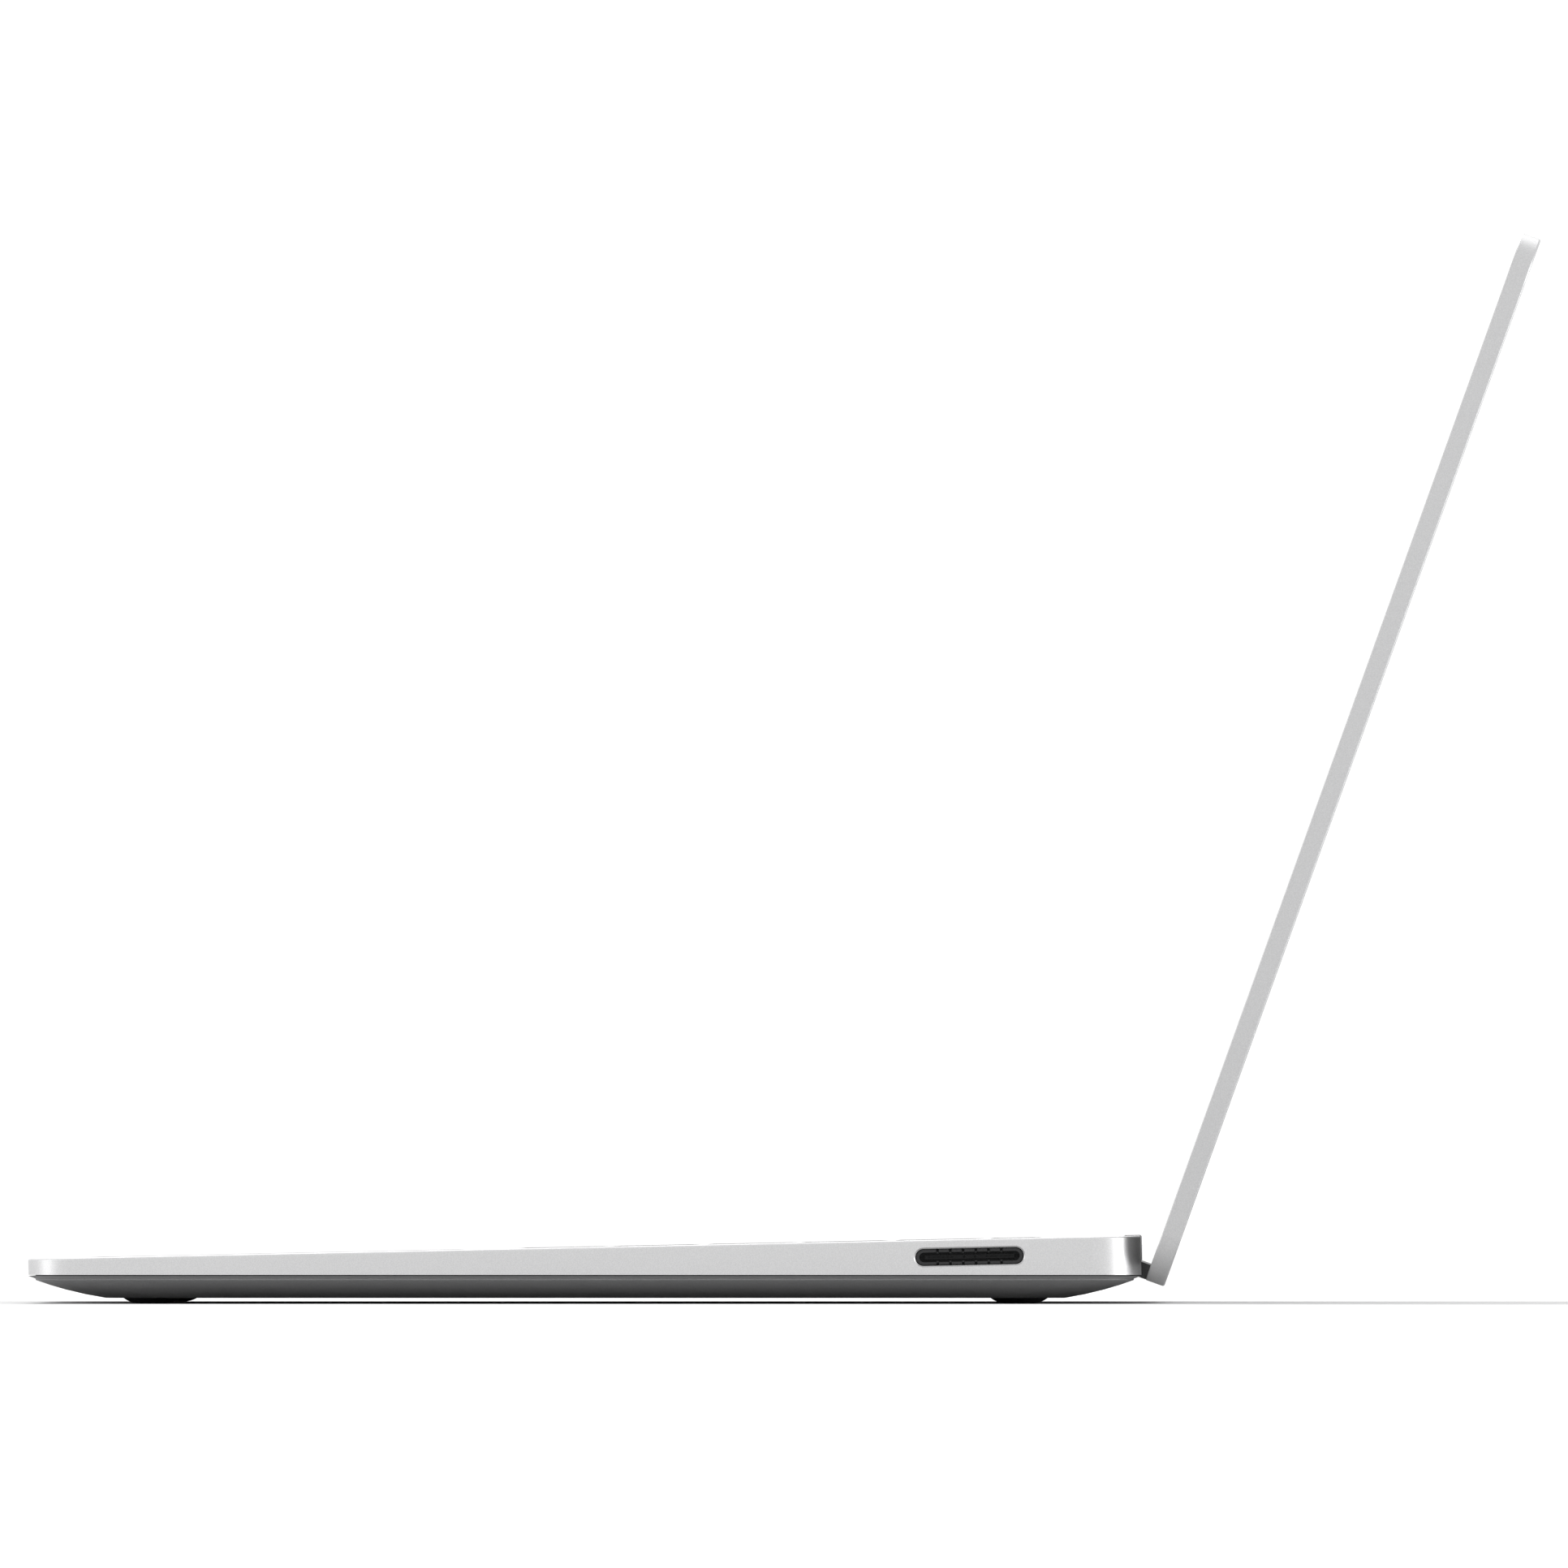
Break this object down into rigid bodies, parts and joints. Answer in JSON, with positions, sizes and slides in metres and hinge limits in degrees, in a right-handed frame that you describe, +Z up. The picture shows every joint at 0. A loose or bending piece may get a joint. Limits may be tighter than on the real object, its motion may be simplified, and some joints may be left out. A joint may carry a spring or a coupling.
{
  "type": "laptop computer",
  "caption": "Slim laptop computer with an aluminium case and lid, standing open, with keyboard, trackpad, side sockets and friction hinges.",
  "frame": {"origin": "middle of the floor area that the open laptop covers, on the table under the feet", "axes": "+X to the right across the keyboard, +Y from the front edge to the back, +Z up"},
  "size_m": [0.278, 0.2796, 0.1979],
  "materials": {
    "case_aluminium": "satin",
    "cover_plastic": "matte",
    "foot_rubber": "matte",
    "screw_steel": "satin",
    "plate_steel": "satin",
    "switch_silicone": "matte",
    "trackpad_glass": "satin",
    "circuit_board": "satin",
    "chip_package": "matte",
    "copper": "satin",
    "fan_plastic": "matte",
    "battery_foil": "matte",
    "port_plastic": "satin",
    "contact_plastic": "satin",
    "port_steel": "satin",
    "hinge_plastic": "satin",
    "shaft_steel": "polished",
    "gasket_rubber": "matte",
    "display_glass": "gloss",
    "panel_black": "satin",
    "magnet": "satin",
    "cable_film": "satin",
    "key_plastic": "satin"
  },
  "bodies": {
    "base": {"audio_jack": "port_plastic", "base_screws": "screw_steel", "battery_left": "battery_foil", "battery_right": "battery_foil", "bottom_cover": "cover_plastic", "case_screws": "screw_steel", "charge_port_contacts": "contact_plastic", "charge_port_shell": "port_plastic", "fan_housing": "fan_plastic", "foot_front_left": "foot_rubber", "foot_front_right": "foot_rubber", "foot_rear_left": "foot_rubber", "foot_rear_right": "foot_rubber", "heat_fins": "copper", "heat_pipe": "copper", "hinge_bracket_left": "plate_steel", "hinge_bracket_right": "plate_steel", "keyboard_plate": "plate_steel", "mainboard": "circuit_board", "processor": "chip_package", "speaker_left": "fan_plastic", "speaker_right": "fan_plastic", "storage_module": "circuit_board", "switch_sheet": "switch_silicone", "top_case": "case_aluminium", "trackpad_frame": "plate_steel", "usb_a_socket": "port_steel", "usb_c_socket": "port_steel", "wireless_module": "circuit_board"},
    "lid": {"lid_shell": "case_aluminium", "display_gasket": "gasket_rubber", "display_glass": "display_glass", "display_panel": "panel_black", "camera_module": "chip_package", "lid_magnets": "magnet", "display_cable": "cable_film", "hinge_bar": "hinge_plastic", "hinge_shaft_left": "shaft_steel", "hinge_shaft_right": "shaft_steel", "hinge_leaf_left": "plate_steel", "hinge_leaf_right": "plate_steel", "lid_screws": "screw_steel"},
    "trackpad": {"trackpad_glass": "trackpad_glass", "trackpad_board": "circuit_board"},
    "fan": {"fan_rotor": "fan_plastic"},
    "keys_function_row": {"keys_function_row": "key_plastic"},
    "power_key": {"power_key": "key_plastic"},
    "keys_number_row": {"keys_number_row": "key_plastic"},
    "backspace_key": {"backspace_key": "key_plastic"},
    "tab_key": {"tab_key": "key_plastic"},
    "keys_upper_row": {"keys_upper_row": "key_plastic"},
    "caps_lock_key": {"caps_lock_key": "key_plastic"},
    "keys_home_row": {"keys_home_row": "key_plastic"},
    "enter_key": {"enter_key": "key_plastic"},
    "left_shift_key": {"left_shift_key": "key_plastic"},
    "keys_lower_row": {"keys_lower_row": "key_plastic"},
    "right_shift_key": {"right_shift_key": "key_plastic"},
    "keys_modifier": {"keys_modifier": "key_plastic"},
    "space_bar": {"space_bar": "key_plastic"},
    "keys_arrow": {"keys_arrow": "key_plastic"}
  },
  "joints": [
    {"name": "lid_hinge", "type": "hinge", "parent": "base", "child": "lid", "pos_m": [0, 0.06327, 0.00855], "axis": [1, 0, 0], "range_deg": [-24, 111]},
    {"name": "trackpad_press", "type": "hinge", "parent": "base", "child": "trackpad", "pos_m": [0, -0.05983, 0.00944], "axis": [1, 0, 0], "range_deg": [0, 0.4], "stiffness_Nm_per_rad": 15, "springref_deg": -0.23},
    {"name": "fan_spin", "type": "hinge", "parent": "base", "child": "fan", "pos_m": [0.066, 0.01817, 0.0045], "axis": [0, 0, 1], "continuous": true},
    {"name": "keys_function_row_press", "type": "slide", "parent": "base", "child": "keys_function_row", "axis": [0, 0.0209, -0.9998], "range_m": [0, 0.0013], "stiffness_N_per_m": 460, "springref_m": -0.0005},
    {"name": "power_key_press", "type": "slide", "parent": "base", "child": "power_key", "axis": [0, 0.0209, -0.9998], "range_m": [0, 0.0013], "stiffness_N_per_m": 460, "springref_m": -0.0005},
    {"name": "keys_number_row_press", "type": "slide", "parent": "base", "child": "keys_number_row", "axis": [0, 0.0209, -0.9998], "range_m": [0, 0.0013], "stiffness_N_per_m": 460, "springref_m": -0.0005},
    {"name": "backspace_key_press", "type": "slide", "parent": "base", "child": "backspace_key", "axis": [0, 0.0209, -0.9998], "range_m": [0, 0.0013], "stiffness_N_per_m": 460, "springref_m": -0.0005},
    {"name": "tab_key_press", "type": "slide", "parent": "base", "child": "tab_key", "axis": [0, 0.0209, -0.9998], "range_m": [0, 0.0013], "stiffness_N_per_m": 460, "springref_m": -0.0005},
    {"name": "keys_upper_row_press", "type": "slide", "parent": "base", "child": "keys_upper_row", "axis": [0, 0.0209, -0.9998], "range_m": [0, 0.0013], "stiffness_N_per_m": 460, "springref_m": -0.0005},
    {"name": "caps_lock_key_press", "type": "slide", "parent": "base", "child": "caps_lock_key", "axis": [0, 0.0209, -0.9998], "range_m": [0, 0.0013], "stiffness_N_per_m": 460, "springref_m": -0.0005},
    {"name": "keys_home_row_press", "type": "slide", "parent": "base", "child": "keys_home_row", "axis": [0, 0.0209, -0.9998], "range_m": [0, 0.0013], "stiffness_N_per_m": 460, "springref_m": -0.0005},
    {"name": "enter_key_press", "type": "slide", "parent": "base", "child": "enter_key", "axis": [0, 0.0209, -0.9998], "range_m": [0, 0.0013], "stiffness_N_per_m": 460, "springref_m": -0.0005},
    {"name": "left_shift_key_press", "type": "slide", "parent": "base", "child": "left_shift_key", "axis": [0, 0.0209, -0.9998], "range_m": [0, 0.0013], "stiffness_N_per_m": 460, "springref_m": -0.0005},
    {"name": "keys_lower_row_press", "type": "slide", "parent": "base", "child": "keys_lower_row", "axis": [0, 0.0209, -0.9998], "range_m": [0, 0.0013], "stiffness_N_per_m": 460, "springref_m": -0.0005},
    {"name": "right_shift_key_press", "type": "slide", "parent": "base", "child": "right_shift_key", "axis": [0, 0.0209, -0.9998], "range_m": [0, 0.0013], "stiffness_N_per_m": 460, "springref_m": -0.0005},
    {"name": "keys_modifier_press", "type": "slide", "parent": "base", "child": "keys_modifier", "axis": [0, 0.0209, -0.9998], "range_m": [0, 0.0013], "stiffness_N_per_m": 460, "springref_m": -0.0005},
    {"name": "space_bar_press", "type": "slide", "parent": "base", "child": "space_bar", "axis": [0, 0.0209, -0.9998], "range_m": [0, 0.0013], "stiffness_N_per_m": 460, "springref_m": -0.0005},
    {"name": "keys_arrow_press", "type": "slide", "parent": "base", "child": "keys_arrow", "axis": [0, 0.0209, -0.9998], "range_m": [0, 0.0013], "stiffness_N_per_m": 460, "springref_m": -0.0005}
  ]
}
